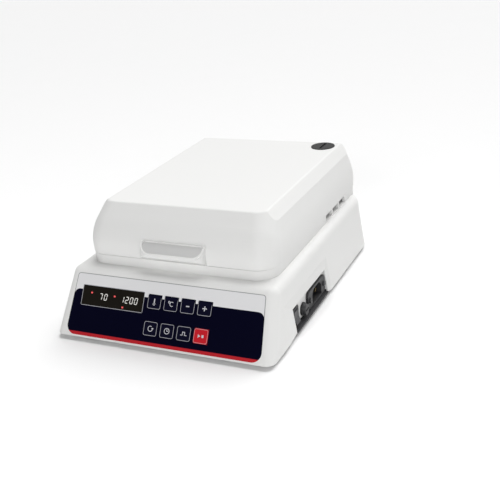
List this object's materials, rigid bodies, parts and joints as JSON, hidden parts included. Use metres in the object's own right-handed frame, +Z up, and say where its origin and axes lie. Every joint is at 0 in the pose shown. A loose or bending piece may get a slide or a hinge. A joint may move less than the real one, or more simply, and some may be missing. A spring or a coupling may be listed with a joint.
{
  "type": "dry block heater",
  "caption": "Shaking dry block heater: a drilled aluminium tube block on an orbital drive in a white housing with a sloped key panel and a hinged lid.",
  "frame": {"origin": "middle of the footprint, on the table under the rubber feet", "axes": "+Z up, -Y to the control panel at the front, +X to the side with the power inlet"},
  "size_m": [0.224, 0.289, 0.1147],
  "materials": {
    "housing_white": "fine texture, semi-matt",
    "liner_steel": "brushed",
    "insulation_foam": "matt felt",
    "gasket_rubber": "matt",
    "screw_steel": "plated",
    "plug_grey": "matt",
    "base_dark": "matt powder coat",
    "feet_rubber": "matt",
    "overlay_navy": "printed film",
    "display_glass": "smoked clear",
    "module_black": "matt",
    "board_green": "lacquered board",
    "inlet_black": "matt",
    "pin_brass": "bright",
    "link_glass": "clear",
    "rocker_black": "gloss",
    "transformer_yellow": "taped",
    "capacitor_sleeve": "shrink sleeve",
    "drive_aluminium": "machined",
    "motor_grey": "satin",
    "shaft_steel": "ground",
    "weight_iron": "as cast",
    "heater_orange": "silicone heating mat",
    "block_aluminium": "bead blasted",
    "key_navy": "printed key",
    "key_red": "printed key"
  },
  "bodies": {
    "base": {"base_housing": "housing_white", "collar_frame": "housing_white", "chamber_liner": "liner_steel", "base_plate": "base_dark", "rubber_feet": "feet_rubber", "housing_screws": "screw_steel", "panel_overlay": "overlay_navy", "display_window": "display_glass", "display_module": "module_black", "control_board": "board_green", "board_screws": "screw_steel", "tact_switches": "module_black", "inlet_panel": "housing_white", "power_inlet": "inlet_black", "inlet_pins": "pin_brass", "inlet_screws": "screw_steel", "switch_frame": "inlet_black", "fuse_socket": "inlet_black", "power_board": "board_green", "power_transformer": "transformer_yellow", "filter_capacitors": "capacitor_sleeve", "board_standoffs": "screw_steel", "drive_posts": "drive_aluminium", "drive_plate": "drive_aluminium", "drive_motor": "motor_grey", "hinge_pins": "screw_steel"},
    "lid": {"lid_shell": "housing_white", "lid_liner": "liner_steel", "lid_insulation": "insulation_foam", "lid_gasket": "gasket_rubber", "lid_screws": "screw_steel"},
    "plug": {"lid_plug": "plug_grey"},
    "rocker": {"power_rocker": "rocker_black"},
    "fuse_holder": {"fuse_cap": "inlet_black", "fuse_link": "link_glass"},
    "shaft": {"drive_shaft": "shaft_steel", "counterweight": "weight_iron"},
    "platform": {"orbit_platform": "drive_aluminium", "heater_plate": "heater_orange", "tube_block": "block_aluminium", "block_screws": "screw_steel", "temperature_sensor": "shaft_steel"},
    "idler_left": {"idler_crank_left": "shaft_steel"},
    "idler_right": {"idler_crank_right": "shaft_steel"},
    "key_temperature": {"key_temperature": "key_navy"},
    "key_unit": {"key_unit": "key_navy"},
    "key_minus": {"key_minus": "key_navy"},
    "key_plus": {"key_plus": "key_navy"},
    "key_speed": {"key_speed": "key_navy"},
    "key_time": {"key_time": "key_navy"},
    "key_pulse": {"key_pulse": "key_navy"},
    "key_start_stop": {"key_start_stop": "key_red"}
  },
  "joints": [
    {"name": "lid_hinge", "type": "hinge", "parent": "base", "child": "lid", "pos_m": [0, 0.1405, 0.0682], "axis": [-1, 0, 0], "range_deg": [0, 95]},
    {"name": "plug_turn", "type": "hinge", "parent": "lid", "child": "plug", "pos_m": [0.068, 0.1225, 0.114], "axis": [0, 0, 1], "range_deg": [0, 90]},
    {"name": "rocker_tilt", "type": "hinge", "parent": "base", "child": "rocker", "pos_m": [0.1044, -0.076, 0.0156], "axis": [0, 1, 0], "range_deg": [0, 18]},
    {"name": "fuse_turn", "type": "hinge", "parent": "base", "child": "fuse_holder", "pos_m": [0.112, -0.0555, 0.0136], "axis": [1, 0, 0], "range_deg": [0, 90]},
    {"name": "shaft_spin", "type": "hinge", "parent": "base", "child": "shaft", "pos_m": [0, 0.02, 0.04], "axis": [0, 0, 1], "continuous": true},
    {"name": "platform_turn", "type": "hinge", "parent": "shaft", "child": "platform", "pos_m": [0.0015, 0.02, 0.05], "axis": [0, 0, 1], "continuous": true},
    {"name": "idler_left_spin", "type": "hinge", "parent": "base", "child": "idler_left", "pos_m": [-0.054, 0.02, 0.04], "axis": [0, 0, 1], "continuous": true},
    {"name": "idler_right_spin", "type": "hinge", "parent": "base", "child": "idler_right", "pos_m": [0.054, 0.02, 0.04], "axis": [0, 0, 1], "continuous": true},
    {"name": "key_temperature_press", "type": "slide", "parent": "base", "child": "key_temperature", "axis": [0, 0.848, -0.5299], "range_m": [0, 0.0004], "stiffness_N_per_m": 800},
    {"name": "key_unit_press", "type": "slide", "parent": "base", "child": "key_unit", "axis": [0, 0.848, -0.5299], "range_m": [0, 0.0004], "stiffness_N_per_m": 800},
    {"name": "key_minus_press", "type": "slide", "parent": "base", "child": "key_minus", "axis": [0, 0.848, -0.5299], "range_m": [0, 0.0004], "stiffness_N_per_m": 800},
    {"name": "key_plus_press", "type": "slide", "parent": "base", "child": "key_plus", "axis": [0, 0.848, -0.5299], "range_m": [0, 0.0004], "stiffness_N_per_m": 800},
    {"name": "key_speed_press", "type": "slide", "parent": "base", "child": "key_speed", "axis": [0, 0.848, -0.5299], "range_m": [0, 0.0004], "stiffness_N_per_m": 800},
    {"name": "key_time_press", "type": "slide", "parent": "base", "child": "key_time", "axis": [0, 0.848, -0.5299], "range_m": [0, 0.0004], "stiffness_N_per_m": 800},
    {"name": "key_pulse_press", "type": "slide", "parent": "base", "child": "key_pulse", "axis": [0, 0.848, -0.5299], "range_m": [0, 0.0004], "stiffness_N_per_m": 800},
    {"name": "key_start_stop_press", "type": "slide", "parent": "base", "child": "key_start_stop", "axis": [0, 0.848, -0.5299], "range_m": [0, 0.0004], "stiffness_N_per_m": 800}
  ],
  "couplings": [
    {"joint": "platform_turn", "follows": "shaft_spin", "ratio": -1},
    {"joint": "idler_left_spin", "follows": "shaft_spin", "ratio": 1},
    {"joint": "idler_right_spin", "follows": "shaft_spin", "ratio": 1}
  ]
}
